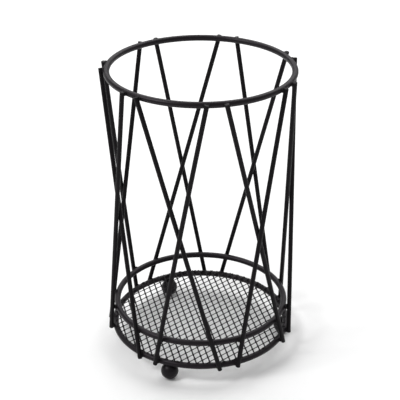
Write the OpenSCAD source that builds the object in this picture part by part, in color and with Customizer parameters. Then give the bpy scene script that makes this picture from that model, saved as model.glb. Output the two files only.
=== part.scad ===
// Umbrella stand: an open round basket of welded wire.
// Three rings are held by straight rods that lean both ways and cross in pairs,
// like the strings of a drum. A flat diamond mesh is the floor, and the whole
// basket stands on three ball feet.
//
// +Z is up and the floor is z = 0. The origin is on the axis of the rings.
// Directions run from the front (-Y) towards the right (+X), in degrees.

/* [Rings] */
// Radius of the top and floor rings, to the middle of the wire
ring_r = 118; // [113:1:140]
// Thickness of the ring wire
ring_wire = 8; // [5:0.5:10]
// Height from the floor ring to the top ring, middle to middle
ring_gap = 367; // [280:1:440]
// Height from the floor ring to the guard ring, middle to middle
guard_gap = 33.5; // [20:0.5:60]

/* [Rods] */
// Number of crossing pairs of rods
pairs = 7; // [5:1:7]
// Thickness of the rod wire
rod_wire = 6; // [3:0.1:6]
// Direction of the first pair, at the top
first_pair = -68.5; // [-180:0.5:180]
// Turn of the floor ring's pattern against the top ring's
pattern_turn = 8.5; // [8.5:0.5:12]
// Angle between neighbouring rods of two pairs, at the top ring
top_spacing = 11.2; // [9:0.1:14]
// Angle between neighbouring rods of two pairs, at the floor ring
foot_spacing = 11.8; // [9:0.1:14]
// How far the rods run on above the middle of the top ring
rod_above = 2.4; // [0:0.1:8]
// How far the rods run on below the middle of the floor ring
rod_below = 3.2; // [0:0.1:10]

/* [Floor mesh] */
// Side of one diamond, middle to middle of its strands
mesh_side = 10.2; // [8:0.1:16]
// Sharp angle of a diamond
mesh_angle = 60; // [45:1:75]
// Direction of the diamonds' long way, turned from the back towards the right
mesh_turn = 17.6; // [0:0.1:45]
// Width of a strand
mesh_strand = 1.5; // [1:0.1:2.5]
// Thickness of the mesh sheet
mesh_thick = 1.6; // [1:0.1:2.5]

/* [Feet] */
// Diameter of a ball foot
ball_d = 23; // [16:0.5:30]
// How far the middle of a ball sits inside the middle of the floor ring
foot_inset = 4; // [0:0.5:6]
// Gap between a ball and the floor ring
foot_neck = 0; // [0:0.5:6]
// Directions of the front, right and back feet
foot_dirs = [-21, 91.5, 204]; // [-180:0.5:360]

/* [Hidden] */

coat_black = [0.07, 0.07, 0.075];
ring_fn = 96;
wire_fn = 48;
bead_fn = 24;

bite = 0.05;                                // how deep one wire is set into the next

// Each ball touches the floor ring from below and a little from inside
foot_reach = ball_d / 2 + foot_neck + ring_wire / 2;
foot_tilt = asin(foot_inset / foot_reach);
floor_ring_z = ball_d / 2 + foot_reach * cos(foot_tilt);
rod_end_r = ring_r + (ring_wire + rod_wire) / 2 - bite;

// The angle each rod turns around the axis, from its top to its foot
pair_step = 360 / pairs;
top_half = (pair_step - top_spacing) / 2;
foot_half = (pair_step - foot_spacing) / 2;
inner_lean = pattern_turn + top_half + foot_half;
outer_lean = pattern_turn - top_half - foot_half;

// The guard ring just touches the inner rods
guard_r = radius_of(rod_at(0, inner_lean, guard_gap)) - (ring_wire + rod_wire) / 2 + bite;

// The mesh lies on the floor ring, sunk a little into its top
mesh_sink = 0.2;
mesh_z = floor_ring_z + ring_wire / 2 - mesh_sink;
mesh_r = ring_r + 0.5;
mesh_rim = 1.2;                             // solid edge where the strands' ends run together
mesh_long = 2 * mesh_side * cos(mesh_angle / 2);
mesh_short = 2 * mesh_side * sin(mesh_angle / 2);
hole_long = mesh_long - mesh_strand / sin(mesh_angle / 2);
hole_short = mesh_short - mesh_strand / cos(mesh_angle / 2);

stud_d = 7.5;
stud_into_ball = 2;
stud_into_ring = 1;

// Weld metal fills the notch between two wires with a small bead
weld_d = 6.6;
tack_d = 3.4;
tack_count = 12;

// A point at distance r from the axis
function on_circle(r, dir, z) = [r * sin(dir), -r * cos(dir), z];
function radius_of(p) = norm([p.x, p.y]);
function dir_of(p) = atan2(p.x, -p.y);

// Directions of a rod's two ends
function inner_top(i) = first_pair + i * pair_step - top_half;
function outer_top(i) = first_pair + i * pair_step + top_half;
function inner_foot(i) = inner_top(i) + inner_lean;
function outer_foot(i) = outer_top(i) + outer_lean;

// Where a rod's middle line is, at a height above the floor ring
function rod_at(foot_dir, top_dir, height) =
    let (part = height / ring_gap)
    on_circle(rod_end_r, foot_dir, 0) * (1 - part) + on_circle(rod_end_r, top_dir, 0) * part;

// A closed ring of wire that lies level, its middle at a height above the floor ring
module wire_ring(r, height) {
    translate([0, 0, floor_ring_z + height])
        rotate_extrude($fn = ring_fn)
            translate([r, 0])
                circle(d = ring_wire, $fn = wire_fn);
}

module top_ring() {
    color(coat_black)
        wire_ring(ring_r, ring_gap);
}

module guard_ring() {
    color(coat_black)
        wire_ring(guard_r, guard_gap);
}

module floor_ring() {
    color(coat_black)
        wire_ring(ring_r, 0);
}

// A straight round rod with square-cut ends, outside the rings
module rod(foot_dir, top_dir) {
    foot = on_circle(rod_end_r, foot_dir, 0);
    top = on_circle(rod_end_r, top_dir, ring_gap);
    along = top - foot;
    steep = ring_gap / norm(along);
    translate(foot + [0, 0, floor_ring_z])
        rotate([0, acos(steep), atan2(along.y, along.x)])
            translate([0, 0, -rod_below / steep])
                cylinder(d = rod_wire, h = (ring_gap + rod_below + rod_above) / steep, $fn = wire_fn);
}

module inner_rod(i) {
    color(coat_black)
        rod(inner_foot(i), inner_top(i));
}

module outer_rod(i) {
    color(coat_black)
        rod(outer_foot(i), outer_top(i));
}

// Expanded metal: a round sheet with rows of diamond holes, every other row set over by half
module mesh_floor() {
    color(coat_black)
        translate([0, 0, mesh_z])
            linear_extrude(mesh_thick)
                difference() {
                    circle(r = mesh_r, $fn = ring_fn);
                    intersection() {
                        circle(r = mesh_r - mesh_rim, $fn = ring_fn);
                        rotate(-mesh_turn)
                            diamond_holes();
                    }
                }
}

module diamond_holes() {
    rows = ceil(2 * mesh_r / mesh_long);
    columns = ceil(mesh_r / mesh_short);
    for (row = [-rows:rows], column = [-columns:columns]) {
        set_over = row % 2 == 0 ? 0 : 0.5;
        translate([(column + set_over) * mesh_short, row * mesh_long / 2])
            diamond_hole();
    }
}

module diamond_hole() {
    polygon([[hole_short / 2, 0], [0, hole_long / 2], [-hole_short / 2, 0], [0, -hole_long / 2]]);
}

// A steel ball that stands on the floor
module ball_foot(i) {
    color(coat_black)
        translate(on_circle(ring_r - foot_inset, foot_dirs[i], ball_d / 2))
            sphere(d = ball_d, $fn = wire_fn);
}

// A short stud joins a ball to the floor ring, on the line between their middles
module foot_stud(i) {
    color(coat_black)
        translate(on_circle(ring_r - foot_inset, foot_dirs[i], ball_d / 2))
            rotate([foot_tilt, 0, foot_dirs[i]])
                translate([0, 0, ball_d / 2 - stud_into_ball])
                    cylinder(d = stud_d, h = stud_into_ball + foot_neck + stud_into_ring, $fn = wire_fn);
}

// A bead at every rod where it crosses a ring of radius r, at a height above the floor ring
module ring_welds(r, height) {
    rods = [for (i = [0:pairs - 1]) each [
        rod_at(inner_foot(i), inner_top(i), height),
        rod_at(outer_foot(i), outer_top(i), height)
    ]];
    for (p = rods) {
        ring_side = r + ring_wire / 2;
        rod_side = radius_of(p) - rod_wire / 2;
        translate(on_circle((ring_side + rod_side) / 2, dir_of(p), floor_ring_z + height))
            sphere(d = weld_d, $fn = bead_fn);
    }
}

module top_ring_welds() {
    color(coat_black)
        ring_welds(ring_r, ring_gap);
}

module guard_ring_welds() {
    color(coat_black)
        ring_welds(guard_r, guard_gap);
}

module floor_ring_welds() {
    color(coat_black)
        ring_welds(ring_r, 0);
}

// Tack welds that hold the edge of the mesh on the floor ring
module mesh_tacks() {
    color(coat_black)
        for (i = [0:tack_count - 1])
            translate(on_circle(ring_r, (i + 0.5) * 360 / tack_count, mesh_z))
                sphere(d = tack_d, $fn = bead_fn);
}

top_ring();
guard_ring();
floor_ring();
mesh_floor();
for (i = [0:pairs - 1]) {
    inner_rod(i);
    outer_rod(i);
}
for (i = [0:len(foot_dirs) - 1]) {
    ball_foot(i);
    foot_stud(i);
}
top_ring_welds();
guard_ring_welds();
floor_ring_welds();
mesh_tacks();
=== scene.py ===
"""Looks for the umbrella stand: coated wire, welds, expanded-metal floor, camera and light."""

import math
import random

import bmesh
import bpy
from mathutils import Matrix, Vector, noise


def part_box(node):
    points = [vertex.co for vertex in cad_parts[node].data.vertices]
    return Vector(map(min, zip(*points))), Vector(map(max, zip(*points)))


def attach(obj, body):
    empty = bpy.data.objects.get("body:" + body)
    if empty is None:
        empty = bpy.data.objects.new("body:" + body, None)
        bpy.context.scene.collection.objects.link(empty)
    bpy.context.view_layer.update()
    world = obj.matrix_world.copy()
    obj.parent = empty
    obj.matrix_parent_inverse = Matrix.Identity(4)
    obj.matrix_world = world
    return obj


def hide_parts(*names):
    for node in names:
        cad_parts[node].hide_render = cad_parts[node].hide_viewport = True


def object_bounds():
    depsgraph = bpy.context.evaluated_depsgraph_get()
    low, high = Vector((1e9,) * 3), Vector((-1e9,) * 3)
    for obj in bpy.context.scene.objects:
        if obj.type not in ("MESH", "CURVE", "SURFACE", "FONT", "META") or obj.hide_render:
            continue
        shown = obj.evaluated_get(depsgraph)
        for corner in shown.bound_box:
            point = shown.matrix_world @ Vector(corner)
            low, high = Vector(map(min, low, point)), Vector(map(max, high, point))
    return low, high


MM = 0.001
UP = Vector((0, 0, 1))

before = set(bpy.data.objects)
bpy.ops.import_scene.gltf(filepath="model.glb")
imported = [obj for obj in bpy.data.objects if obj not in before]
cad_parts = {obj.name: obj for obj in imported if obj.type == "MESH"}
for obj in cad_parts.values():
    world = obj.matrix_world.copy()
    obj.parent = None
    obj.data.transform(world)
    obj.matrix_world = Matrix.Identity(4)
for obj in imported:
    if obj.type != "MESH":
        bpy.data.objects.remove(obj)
cad_low, cad_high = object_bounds()
floor_z = cad_low.z


# ---------------------------------------------------------------- sizes, all read from the frame

def ring_size(node):
    """Radius to the middle of the wire, height of the middle, and wire thickness of a ring."""
    low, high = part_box(node)
    wire = high.z - low.z
    return (high.x - low.x - wire) / 2, (high.z + low.z) / 2, wire


def middle(points):
    """Middle of the box round some points."""
    low = Vector([min(p[i] for p in points) for i in range(3)])
    high = Vector([max(p[i] for p in points) for i in range(3)])
    return (low + high) / 2


def rod_ends(node):
    """Middles of a rod's lower and upper cut ends, and its radius."""
    low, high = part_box(node)
    half = (low.z + high.z) / 2
    points = [v.co.copy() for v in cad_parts[node].data.vertices]
    foot = middle([p for p in points if p.z < half])
    top = middle([p for p in points if p.z > half])
    radius = max((p - foot).length for p in points if p.z < half)
    return foot, top, radius


ring_r, top_z, ring_wire = ring_size("top_ring")
guard_r, guard_z, _ = ring_size("guard_ring")
_, floor_ring_z, _ = ring_size("floor_ring")
rod_nodes = sorted(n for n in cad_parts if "_rod_" in n)
foot_nodes = sorted(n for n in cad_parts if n.startswith("ball_foot_"))
rods = {n: rod_ends(n) for n in rod_nodes}


# ---------------------------------------------------------------- small helpers

def new_piece(name, bm, material, slot, *replaced):
    """Makes a smooth-shaded piece from a bmesh and rides it on the stand."""
    bmesh.ops.recalc_face_normals(bm, faces=bm.faces)
    mesh = bpy.data.meshes.new(name)
    bm.to_mesh(mesh)
    bm.free()
    mesh.polygons.foreach_set("use_smooth", [True] * len(mesh.polygons))
    mesh.materials.append(material)
    piece = bpy.data.objects.new(name, mesh)
    bpy.context.scene.collection.objects.link(piece)
    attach(piece, "root")
    if replaced:
        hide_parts(*replaced)
    return piece


def loft(bm, rings, closed_ends=True):
    """Joins a row of point rings, all with the same number of points, into a tube."""
    made = [[bm.verts.new(p) for p in ring] for ring in rings]
    count = len(made[0])
    for a, b in zip(made, made[1:]):
        for i in range(count):
            j = (i + 1) % count
            bm.faces.new((a[i], a[j], b[j], b[i]))
    if closed_ends:
        bm.faces.new(list(reversed(made[0])))
        bm.faces.new(made[-1])


# ---------------------------------------------------------------- materials

CLOUD_MM = 35          # patches of slightly uneven black
PATCH_MM = 9           # patches of uneven gloss
GLOSS_SPREAD = 0.06
NOISE_LOW = 0.3        # most of a noise texture lies between these two
NOISE_HIGH = 0.7
PEEL_STRENGTH = 0.5
COAT_TINT = (1.0, 0.92, 1.0, 1)


def coat_material(name, dark, light, rough, peel_mm, peel_depth_mm, specular):
    """Satin black powder coat: fine orange peel, uneven gloss and a slightly uneven black."""
    material = bpy.data.materials.new(name)
    material.use_nodes = True
    nodes, links = material.node_tree.nodes, material.node_tree.links
    shader = nodes["Principled BSDF"]
    shader.inputs["Metallic"].default_value = 0.0
    shader.inputs["Specular IOR Level"].default_value = specular
    shader.inputs["Specular Tint"].default_value = COAT_TINT
    place = nodes.new("ShaderNodeTexCoord")

    def noise_node(size_mm, detail):
        made = nodes.new("ShaderNodeTexNoise")
        made.inputs["Scale"].default_value = 1 / (size_mm * MM)
        made.inputs["Detail"].default_value = detail
        links.new(place.outputs["Object"], made.inputs["Vector"])
        return made

    cloud = noise_node(CLOUD_MM, 3)
    tint = nodes.new("ShaderNodeMix")
    tint.data_type = "RGBA"
    tint.inputs["A"].default_value = (*dark, 1)
    tint.inputs["B"].default_value = (*light, 1)
    links.new(cloud.outputs["Fac"], tint.inputs["Factor"])
    links.new(tint.outputs["Result"], shader.inputs["Base Color"])

    patches = noise_node(PATCH_MM, 4)
    gloss = nodes.new("ShaderNodeMapRange")
    gloss.inputs["From Min"].default_value = NOISE_LOW
    gloss.inputs["From Max"].default_value = NOISE_HIGH
    gloss.inputs["To Min"].default_value = rough - GLOSS_SPREAD
    gloss.inputs["To Max"].default_value = rough + GLOSS_SPREAD
    links.new(patches.outputs["Fac"], gloss.inputs["Value"])
    links.new(gloss.outputs["Result"], shader.inputs["Roughness"])

    peel = noise_node(peel_mm, 2)
    bump = nodes.new("ShaderNodeBump")
    bump.inputs["Strength"].default_value = PEEL_STRENGTH
    bump.inputs["Distance"].default_value = peel_depth_mm * MM
    links.new(peel.outputs["Fac"], bump.inputs["Height"])
    links.new(bump.outputs["Normal"], shader.inputs["Normal"])
    return material


ring_coat = coat_material(
    "ring_coat", dark=(0.0042, 0.0032, 0.0041), light=(0.0072, 0.0056, 0.0071),
    rough=0.40, peel_mm=1.1, peel_depth_mm=0.10, specular=0.24,
)
rod_coat = coat_material(
    "rod_coat", dark=(0.0028, 0.0026, 0.0028), light=(0.0055, 0.0050, 0.0055),
    rough=0.48, peel_mm=1.0, peel_depth_mm=0.08, specular=0.13,
)
mesh_coat = coat_material(
    "mesh_coat", dark=(0.0035, 0.0034, 0.0035), light=(0.0070, 0.0066, 0.0070),
    rough=0.55, peel_mm=0.8, peel_depth_mm=0.10, specular=0.14,
)
foot_coat = coat_material(
    "foot_coat", dark=(0.0035, 0.0033, 0.0038), light=(0.0060, 0.0056, 0.0064),
    rough=0.42, peel_mm=1.3, peel_depth_mm=0.10, specular=0.20,
)
weld_coat = coat_material(
    "weld_coat", dark=(0.0035, 0.0031, 0.0035), light=(0.0070, 0.0063, 0.0070),
    rough=0.50, peel_mm=0.9, peel_depth_mm=0.14, specular=0.14,
)


# ---------------------------------------------------------------- rings and feet: only coated

def coat_node(node, material):
    """Gives a CAD node its coat, and leaves its shape alone."""
    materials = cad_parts[node].data.materials
    materials.clear()
    materials.append(material)


for node in ("top_ring", "guard_ring", "floor_ring"):
    coat_node(node, ring_coat)
for node in foot_nodes:
    coat_node(node, foot_coat)


# ---------------------------------------------------------------- rods

ROD_SIDES = 24
ROD_STEPS = 28
END_ROUND = 0.7 * MM
ROUND_ANGLES = (90, 67.5, 45, 22.5, 0)
ROD_SWAY = 0.7 * MM    # how far the middle of a rod is off a straight line, at most


def rod_stations(length, radius):
    """Distance along a rod and radius of its rings: the coated ends are slightly rounded."""
    start = []
    for a in map(math.radians, ROUND_ANGLES):
        start.append((END_ROUND * (1 - math.sin(a)), radius - END_ROUND * (1 - math.cos(a))))
    body = [(length * i / ROD_STEPS, radius) for i in range(1, ROD_STEPS)]
    end = [(length - s, r) for s, r in reversed(start)]
    return start + body + end


def rod_piece(node, draw):
    """A rod from end to end, round, with a slight sideways bend."""
    foot, top, radius = rods[node]
    length = (top - foot).length
    along = (top - foot).normalized()
    centre = (foot + top) / 2
    out = Vector((centre.x, centre.y, 0)).normalized()
    side = along.cross(out).normalized()
    out = side.cross(along)
    sway = ROD_SWAY * draw.uniform(-1.0, 1.0)
    rings = []
    for s, r in rod_stations(length, radius):
        t = s / length
        bend = 4 * t * (1 - t)
        point = foot + along * s + side * (sway * bend)
        ring = []
        for i in range(ROD_SIDES):
            a = 2 * math.pi * i / ROD_SIDES
            ring.append(point + (out * math.cos(a) + side * math.sin(a)) * r)
        rings.append(ring)
    bm = bmesh.new()
    loft(bm, rings)
    new_piece("wire_" + node, bm, rod_coat, "rod_coat", node)


SEED = 7

draw = random.Random(SEED)
for node in rod_nodes:
    rod_piece(node, draw)


# ---------------------------------------------------------------- welds

# Half sizes of a bead, along the ring, outwards and up
RING_BEAD = (4.3 * MM, 2.3 * MM, 3.3 * MM)
TACK_BEAD = (2.6 * MM, 1.7 * MM, 1.5 * MM)
SIZE_SPREAD = 0.08
# Lumps on a bead: how high, as a part of its size, and how close together
BIG_LUMPS = 0.16
BIG_LUMP_SCALE = 1.6
SMALL_LUMPS = 0.05
SMALL_LUMP_SCALE = 4.5
NOISE_REACH = 50       # each bead takes its lumps from somewhere else in the noise


def bead(bm, centre, out, size, draw):
    """A lump of weld metal round a point; out is the way outwards from the stand's axis."""
    along = UP.cross(out).normalized()
    ball = bmesh.ops.create_icosphere(bm, subdivisions=3, radius=1.0)
    shift = Vector([draw.uniform(-NOISE_REACH, NOISE_REACH) for _ in range(3)])
    stretch = Vector(size) * draw.uniform(1 - SIZE_SPREAD, 1 + SIZE_SPREAD)
    for v in ball["verts"]:
        big = BIG_LUMPS * noise.noise(v.co * BIG_LUMP_SCALE + shift)
        small = SMALL_LUMPS * noise.noise(v.co * SMALL_LUMP_SCALE + shift)
        p = v.co * (1 + big + small)
        v.co = centre + along * (p.x * stretch.x) + out * (p.y * stretch.y) + UP * (p.z * stretch.z)


def ring_beads(name, node, r, z, draw):
    """Weld beads at every rod, where it crosses a ring of radius r at height z."""
    bm = bmesh.new()
    for rod in rod_nodes:
        foot, top, radius = rods[rod]
        t = (z - foot.z) / (top.z - foot.z)
        p = foot + (top - foot) * t
        flat = Vector((p.x, p.y, 0))
        out = flat.normalized()
        seat = (r + ring_wire / 2 + flat.length - radius) / 2
        bead(bm, Vector((out.x * seat, out.y * seat, z)), out, RING_BEAD, draw)
    new_piece(name, bm, weld_coat, "weld_coat", node)


ring_beads("top_ring_beads", "top_ring_welds", ring_r, top_z, draw)
ring_beads("guard_ring_beads", "guard_ring_welds", guard_r, guard_z, draw)
ring_beads("floor_ring_beads", "floor_ring_welds", ring_r, floor_ring_z, draw)


# ---------------------------------------------------------------- expanded-metal floor

mesh_low, mesh_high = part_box("mesh_floor")
mesh_r = (mesh_high.x - mesh_low.x) / 2
mesh_mid = (mesh_high.z + mesh_low.z) / 2
mesh_half = (mesh_high.z - mesh_low.z) / 2

# Side, sharp angle and turn of the diamonds, as in the CAD sheet
CELL_SIDE = 10.2 * MM
CELL_ANGLE = math.radians(60)
CELL_TURN = math.radians(17.6)

STRAND = 1.65 * MM     # width of a strand
STRAND_BODY = 0.60     # half its thickness, as a part of half the CAD sheet's
STRAND_TILT = 0.30     # how far its edges go up and down, as a part of the same
# Half a strand's section: part of the way from its middle line to its edge, and height there
STRAND_EDGE = ((0, 1), (0.65, 0.85), (1, 0), (0.65, -0.85), (0, -1))
BOND = 0.3 * MM        # how far a diamond's corners are filled
BOND_TAIL = 0.45       # part of that filling at the points next to a corner
HOLE_STEPS = 4         # points along one side of a hole
SAME_POINT = 0.02 * MM  # points closer than this are joined
ON_AXIS = 1e-6         # points closer to a diamond's long axis than this stay level
DISC_SIDES = 128       # of the disc that the sheet is cut to
DISC_DEPTH = 8         # in halves of the CAD sheet's thickness


def cell_outline(grow):
    """Points round a diamond, from the strands' middle lines (grow 0) to its hole (grow 1)."""
    slope = CELL_ANGLE / 2
    half_long = CELL_SIDE * math.cos(slope)
    half_short = CELL_SIDE * math.sin(slope)
    corners = [(half_short, 0), (0, half_long), (-half_short, 0), (0, -half_long)]
    inset = STRAND / 2 * grow
    points = []
    for k in range(4):
        a = Vector(corners[k])
        b = Vector(corners[(k + 1) % 4])
        edge = (b - a).normalized()
        inward = Vector((-edge.y, edge.x))
        half_angle = slope if k % 2 else math.pi / 2 - slope
        for step in range(HOLE_STEPS):
            p = a.lerp(b, step / HOLE_STEPS)
            beside_corner = step in (1, HOLE_STEPS - 1)
            if step == 0:
                p = p - p.normalized() * (inset / math.sin(half_angle) + BOND * grow)
            else:
                p = p + inward * (inset + (BOND * BOND_TAIL * grow if beside_corner else 0))
            points.append(p)
    return points


def mesh_sheet():
    """Half-strands round every diamond of the sheet, joined along the strands' middle lines."""
    bm = bmesh.new()
    long_step = 2 * CELL_SIDE * math.cos(CELL_ANGLE / 2)
    short_step = 2 * CELL_SIDE * math.sin(CELL_ANGLE / 2)
    tilt = STRAND_TILT * mesh_half
    body = STRAND_BODY * mesh_half
    outlines = [(cell_outline(grow), body * height, grow) for grow, height in STRAND_EDGE]
    turn = Matrix.Rotation(-CELL_TURN, 2)
    reach = mesh_r + CELL_SIDE
    rows = math.ceil(2 * reach / long_step)
    columns = math.ceil(reach / short_step)
    for row in range(-rows, rows + 1):
        for column in range(-columns, columns + 1):
            set_over = 0.5 if row % 2 else 0
            centre = Vector(((column + set_over) * short_step, row * long_step / 2))
            if centre.length > reach:
                continue
            rings = []
            for outline, height, grow in outlines:
                ring = []
                for p in outline:
                    side = 0 if abs(p.x) <= ON_AXIS else math.copysign(1, p.x)
                    lean = -tilt * grow * side
                    q = turn @ (centre + p)
                    ring.append(Vector((q.x, q.y, mesh_mid + height + lean)))
                rings.append(ring)
            loft(bm, rings, closed_ends=False)
    bmesh.ops.remove_doubles(bm, verts=bm.verts, dist=SAME_POINT)
    return bm


def trim_round(piece, radius):
    """Cuts a sheet to a disc, leaving the cut ends of its strands."""
    bm = bmesh.new()
    bmesh.ops.create_cone(
        bm, cap_ends=True, segments=DISC_SIDES, radius1=radius, radius2=radius,
        depth=mesh_half * DISC_DEPTH, matrix=Matrix.Translation((0, 0, mesh_mid)),
    )
    cutter_mesh = bpy.data.meshes.new("disc")
    bm.to_mesh(cutter_mesh)
    bm.free()
    cutter = bpy.data.objects.new("disc", cutter_mesh)
    bpy.context.scene.collection.objects.link(cutter)
    cut = piece.modifiers.new("trim", "BOOLEAN")
    cut.operation = "INTERSECT"
    cut.solver = "EXACT"
    cut.object = cutter
    bpy.context.view_layer.update()
    shown = piece.evaluated_get(bpy.context.evaluated_depsgraph_get())
    trimmed = bpy.data.meshes.new_from_object(shown)
    piece.modifiers.clear()
    piece.data = trimmed
    bpy.data.objects.remove(cutter)


floor_mesh = new_piece("expanded_metal", mesh_sheet(), mesh_coat, "mesh_coat", "mesh_floor")
trim_round(floor_mesh, mesh_r)

TACKS = 12


def tack_beads(draw):
    """Tack welds under the edge of the mesh, on the top of the floor ring."""
    bm = bmesh.new()
    for i in range(TACKS):
        a = math.radians((i + 0.5) * 360 / TACKS)
        out = Vector((math.sin(a), -math.cos(a), 0))
        bead(bm, out * ring_r + UP * mesh_low.z, out, TACK_BEAD, draw)
    new_piece("mesh_tack_beads", bm, weld_coat, "weld_coat", "mesh_tacks")


tack_beads(draw)


# ---------------------------------------------------------------- foot studs, flared by their welds

STUD_R = 3.75 * MM
STUD_INTO_BALL = 2.0 * MM
STUD_INTO_RING = 2.2 * MM
STUD_SIDES = 32
LUMPS_ROUND = 2        # how close together its lumps are, round it and along it
LUMPS_ALONG = 3
# Part of the way from the ball to the ring, and how wide the stud is there
STUD_FLARE = ((0, 1.3), (0.3, 1.12), (0.5, 1.0), (0.7, 1.04), (0.9, 1.1), (1, 0.9))


def stud_piece(number):
    """A stud from a ball to the floor ring, along the line between their middles."""
    low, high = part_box(f"ball_foot_{number}")
    ball = middle([low, high])
    ball_r = (high.z - low.z) / 2
    out = Vector((ball.x, ball.y, 0)).normalized()
    seat = out * ring_r + UP * floor_ring_z
    along = (seat - ball).normalized()
    side = along.cross(out).normalized()
    across = side.cross(along)
    start = ball_r - STUD_INTO_BALL
    height = (seat - ball).length - ring_wire / 2 + STUD_INTO_RING - start
    bm = bmesh.new()
    rings = []
    for t, grow in STUD_FLARE:
        middle_point = ball + along * (start + height * t)
        ring = []
        for i in range(STUD_SIDES):
            a = 2 * math.pi * i / STUD_SIDES
            spot = Vector((math.cos(a), math.sin(a), 0)) * LUMPS_ROUND
            spot.z = t * LUMPS_ALONG + number
            lump = noise.noise(spot)
            reach = STUD_R * grow * (1 + SMALL_LUMPS * lump)
            ring.append(middle_point + (across * math.cos(a) + side * math.sin(a)) * reach)
        rings.append(ring)
    loft(bm, rings)
    new_piece(f"foot_collar_{number}", bm, weld_coat, "foot_coat", f"foot_stud_{number}")


for number in range(1, len(foot_nodes) + 1):
    stud_piece(number)


# ---------------------------------------------------------------- camera, floor and light

CAMERA_SIDE = -0.008 * ring_r
CAMERA_BACK = 11.394 * ring_r
CAMERA_HIGH = 7.407 * ring_r
CAMERA_DOWN = math.radians(27.205)
CAMERA_LENS = 102.8
CAMERA_SENSOR = 36

camera_data = bpy.data.cameras.new("camera")
camera_data.lens = CAMERA_LENS
camera_data.sensor_width = CAMERA_SENSOR
camera = bpy.data.objects.new("camera", camera_data)
camera.location = (CAMERA_SIDE, -CAMERA_BACK, floor_ring_z + CAMERA_HIGH)
camera.rotation_euler = (math.pi / 2 - CAMERA_DOWN, 0, 0)
bpy.context.scene.collection.objects.link(camera)
bpy.context.scene.camera = camera

FLOOR_HALF = 8.0       # metres, as are the lights' places and sizes
FLOOR_WHITE = (0.9, 0.9, 0.9, 1)
SKY_WHITE = (1, 1, 1, 1)
SKY_STRENGTH = 0.40


def studio_floor():
    """A wide, matt, nearly white floor."""
    material = bpy.data.materials.new("studio_floor")
    material.use_nodes = True
    shader = material.node_tree.nodes["Principled BSDF"]
    shader.inputs["Base Color"].default_value = FLOOR_WHITE
    shader.inputs["Roughness"].default_value = 0.9
    shader.inputs["Specular IOR Level"].default_value = 0.0
    bm = bmesh.new()
    bmesh.ops.create_grid(bm, x_segments=1, y_segments=1, size=FLOOR_HALF)
    mesh = bpy.data.meshes.new("studio_floor")
    bm.to_mesh(mesh)
    bm.free()
    mesh.materials.append(material)
    floor = bpy.data.objects.new("studio_floor", mesh)
    floor.location.z = floor_z
    bpy.context.scene.collection.objects.link(floor)


def soft_light(name, where, aim, width, height, watts):
    """A rectangular softbox at a place, turned towards a point."""
    data = bpy.data.lights.new(name, "AREA")
    data.shape = "RECTANGLE"
    data.size = width
    data.size_y = height
    data.energy = watts
    light = bpy.data.objects.new(name, data)
    light.location = where
    light.rotation_euler = (Vector(aim) - Vector(where)).to_track_quat("-Z", "Y").to_euler()
    bpy.context.scene.collection.objects.link(light)


studio_floor()
soft_light("key", where=(-1.9, -0.9, 2.4), aim=(0, 0, 0.1), width=0.9, height=0.9, watts=40)
soft_light("back", where=(0.3, 1.9, 2.9), aim=(0, 0.1, 0), width=5.0, height=3.0, watts=118)

world = bpy.data.worlds.new("studio")
world.use_nodes = True
world.node_tree.nodes["Background"].inputs["Color"].default_value = SKY_WHITE
world.node_tree.nodes["Background"].inputs["Strength"].default_value = SKY_STRENGTH
bpy.context.scene.world = world
bpy.context.scene.view_settings.view_transform = "Standard"
